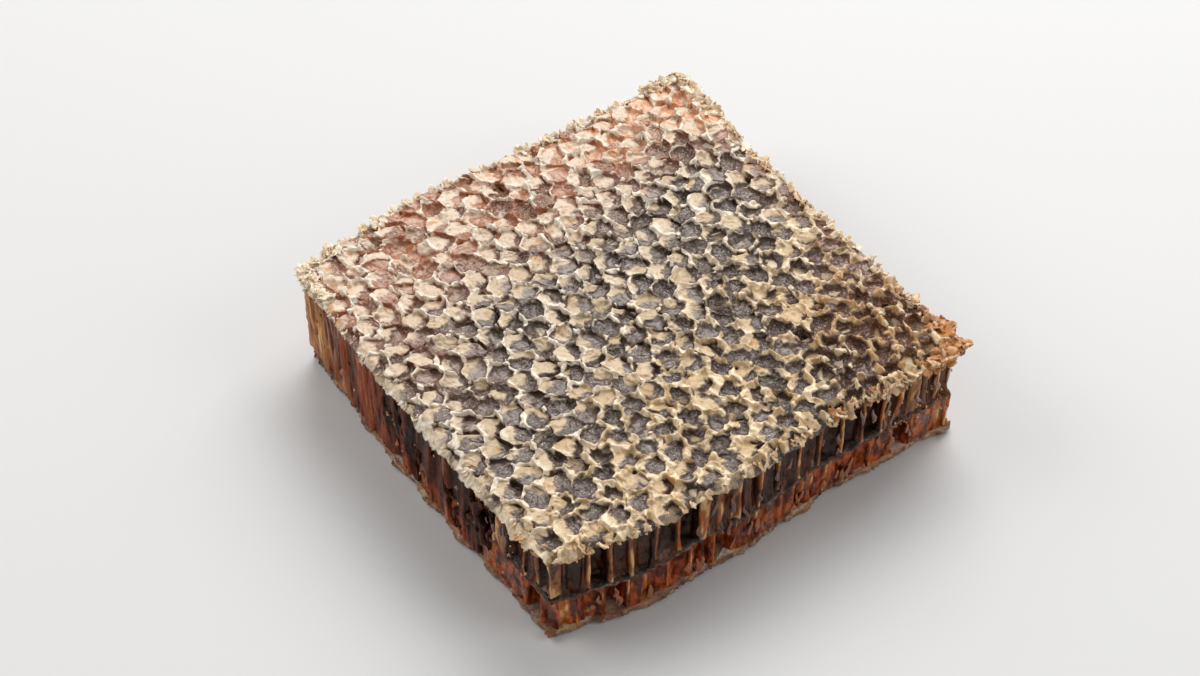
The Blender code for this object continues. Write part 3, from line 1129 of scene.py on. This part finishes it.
def addDrip(bm, p, z, out, length, width, seed):
    # thicker at its foot, and bent a little
    made = bmesh.ops.create_icosphere(bm, subdivisions=3, radius=1.0)
    across = Vector((-out.y, out.x))
    for vert in made["verts"]:
        side, forth, up = vert.co
        girth = width * (0.75 - 0.35 * up) * (1 + 0.25 * wander((up, side), 0.9, seed))
        bend = 0.35 * length * 0.5 * wander((up, 0), 1.3, seed + 5)
        spot = p + across * (side * girth + bend) + out * (forth * 0.55 * girth)
        vert.co = (*spot, z + up * length / 2)


def buildDrips():
    rng = random.Random("honey drips")
    bm = bmesh.new()
    for box, count, lengths, widths, heights in honeyDrips.values():
        for p, out in pointsInBox(rng, box, count):
            p = p - out * rng.uniform(0.1, 0.9) * mm
            length, width = rng.uniform(*lengths) * mm, rng.uniform(*widths) * mm
            addDrip(bm, p, rng.uniform(*heights) * mm, out, length, width, rng.uniform(0, 100))
    addPiece("honeyDrips", bm, drippingHoney())


midribRibbon = {
    "step": 0.35 * mm,
    "rows": 5,
    "reach": (-0.35 * mm, 0.30 * mm),
    "bulge": 0.45 * mm,
    "setBack": 0.65 * mm,
    "zigzag": 0.45 * mm,
    "wave": 0.40 * mm,
}


def buildMidrib():
    # the cells' shared floor shows at the cut as a thin zigzag ribbon of wax
    low, high = (corner.z + extra for corner, extra in zip(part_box("midrib"), midribRibbon["reach"]))
    bm = flatBase("midrib", midribRibbon["step"])
    rimLayer = bm.verts.layers.float.new("rim")
    raiseRing(bm, low, high, midribRibbon["rows"])
    for vert in bm.verts:
        p, z = vert.co.xy.copy(), vert.co.z
        out = toCut(p)[1]
        up = (z - low) / (high - low)
        share = min(1.0, nearestCell(p, upperTree)[2])
        bulge = math.sqrt(max(0.0, 1 - (2 * up - 1) ** 2))
        reach = midribRibbon["bulge"] * bulge - midribRibbon["setBack"]
        reach += midribRibbon["wave"] * wander(p, 2.0 * mm, 41.0)
        vert.co.xy = p + out * reach
        vert.co.z += midribRibbon["zigzag"] * (share - 0.7) * 1.4 + 0.15 * mm * wander(p, 1.0 * mm, 43.0)
        vert[rimLayer] = bulge ** 0.5
    addPiece("midribRibbon", bm, midribWax(), ["midrib"])


lowerSheet = {
    "rows": 5,
    "recess": 0.55 * mm,          # how far the caps lie above what the comb stands on, between their rims
    "top": 1.75 * mm,
}


def buildLowerSheet():
    # the cappings below, soaked and pressed flat where the comb stands on them
    bm = bmesh.new()
    addHexagons(bm, lowerMiddles, lowerSheet["rows"])
    rimLayer = bm.verts.layers.float.new("rim")
    outside = []
    for face in bm.faces:
        p = face.calc_center_median().xy
        if nearTheCut(p) and depthInside(p) < 0.15 * mm * wander(p, 2.0 * mm, 50.0):
            outside.append(face)
    bmesh.ops.delete(bm, geom=outside, context="FACES")
    for vert in bm.verts:
        p = vert.co.xy.copy()
        share = min(1.0, nearestCell(p, lowerTree)[2])
        depth = depthInside(p) if nearTheCut(p) else 1.0
        height = lowerSheet["recess"] * (1 - share ** 4) * (0.6 + 0.5 * wander(p, 3.0 * mm, 51.0))
        height += 0.12 * mm * (1 + wander(p, 1.2 * mm, 52.0)) * (1 - share ** 6)
        height += 0.5 * mm * math.exp(-max(0.0, depth) / (0.35 * mm))
        vert[rimLayer] = ramp(share, 0.75, 0.97)
        vert.co = (*warped(p), max(0.0, height))
    edge = openEdges(bm)
    for _ in range(2):
        raised = bmesh.ops.extrude_edge_only(bm, edges=edge)["geom"]
        edge = edgesOf(raised)
        for vert in vertsOf(raised):
            vert.co.z += (lowerSheet["top"] - vert.co.z) / 2
            out = toCut(vert.co.xy)[1]
            vert.co.xy += out * 0.12 * mm * wander(vert.co, 1.5 * mm, 53.0)
    for vert in {v for e in edge for v in e.verts}:
        vert.co.z = lowerSheet["top"]
    bmesh.ops.holes_fill(bm, edges=openEdges(bm), sides=0)
    addPiece("lowerCappings", bm, soakedWax(), ["lower_capping"])


buildTopSheet()
buildEdgeShards()
buildCellWalls("upperCells", "upper_cells", upperTree, upperHoney)
buildCellWalls("lowerCells", "lower_cells", lowerTree, lowerHoney)
buildLeftSmear()
buildDrips()
buildMidrib()
buildLowerSheet()


# The stage

stage = {
    "target": (-10.3 * mm, -7.3 * mm, 24.5 * mm),
    "distance": 426 * mm,
    "azimuth": -34,
    "elevation": 45,
    "lens": 63.6,
    "floorRadius": 4.0,
    "floorColour": (0.68, 0.68, 0.68),
    "ambient": 0.31,
}
softboxes = {
    # azimuth and elevation in degrees, distance, width and height, power, colour
    "backWindow": (128, 46, 1.1, (1.0, 0.8), 11.3, (1.0, 0.99, 0.98)),
    "leftWindow": (226, 36, 1.0, (0.7, 0.6), 4.2, (1.0, 0.985, 0.96)),
    "rightFill": (40, 34, 1.1, (0.5, 0.8), 2.6, (1.0, 1.0, 1.0)),
}


def wayUp(azimuth, elevation):
    a, e = math.radians(azimuth), math.radians(elevation)
    return Vector((math.sin(a) * math.cos(e), -math.cos(a) * math.cos(e), math.sin(e)))


def aimed(obj, spot, target):
    obj.location = spot
    obj.rotation_euler = (Vector(target) - Vector(spot)).to_track_quat("-Z", "Y").to_euler()


def buildStage():
    bm = bmesh.new()
    bmesh.ops.create_circle(bm, cap_ends=True, segments=64, radius=stage["floorRadius"])
    floor = addObject("floor", meshFrom("floor", bm))
    look = {"Base Color": stage["floorColour"], "Roughness": 0.6}
    floor.data.materials.append(setLook(newMaterial("paleFloor")[0], look))


def buildCamera():
    camera = addObject("camera", bpy.data.cameras.new("camera"))
    camera.data.lens = stage["lens"]
    camera.data.clip_start = 0.01
    back = wayUp(stage["azimuth"], stage["elevation"])
    aimed(camera, Vector(stage["target"]) + back * stage["distance"], stage["target"])
    bpy.context.scene.camera = camera


def buildLights():
    world = bpy.data.worlds.new("studio")
    world.use_nodes = True
    background = world.node_tree.nodes["Background"].inputs
    background["Color"].default_value = (1, 1, 1, 1)
    background["Strength"].default_value = stage["ambient"]
    bpy.context.scene.world = world
    for name, (azimuth, elevation, distance, size, power, colour) in softboxes.items():
        light = bpy.data.lights.new(name, "AREA")
        light.shape = "RECTANGLE"
        light.size, light.size_y = size
        light.energy = power
        light.color = colour
        aimed(addObject(name, light), wayUp(azimuth, elevation) * distance, (0, 0, 0))
    bpy.context.scene.view_settings.view_transform = "Standard"


buildStage()
buildCamera()
buildLights()
print(f"stage: a floor, a camera and {len(softboxes)} lights")
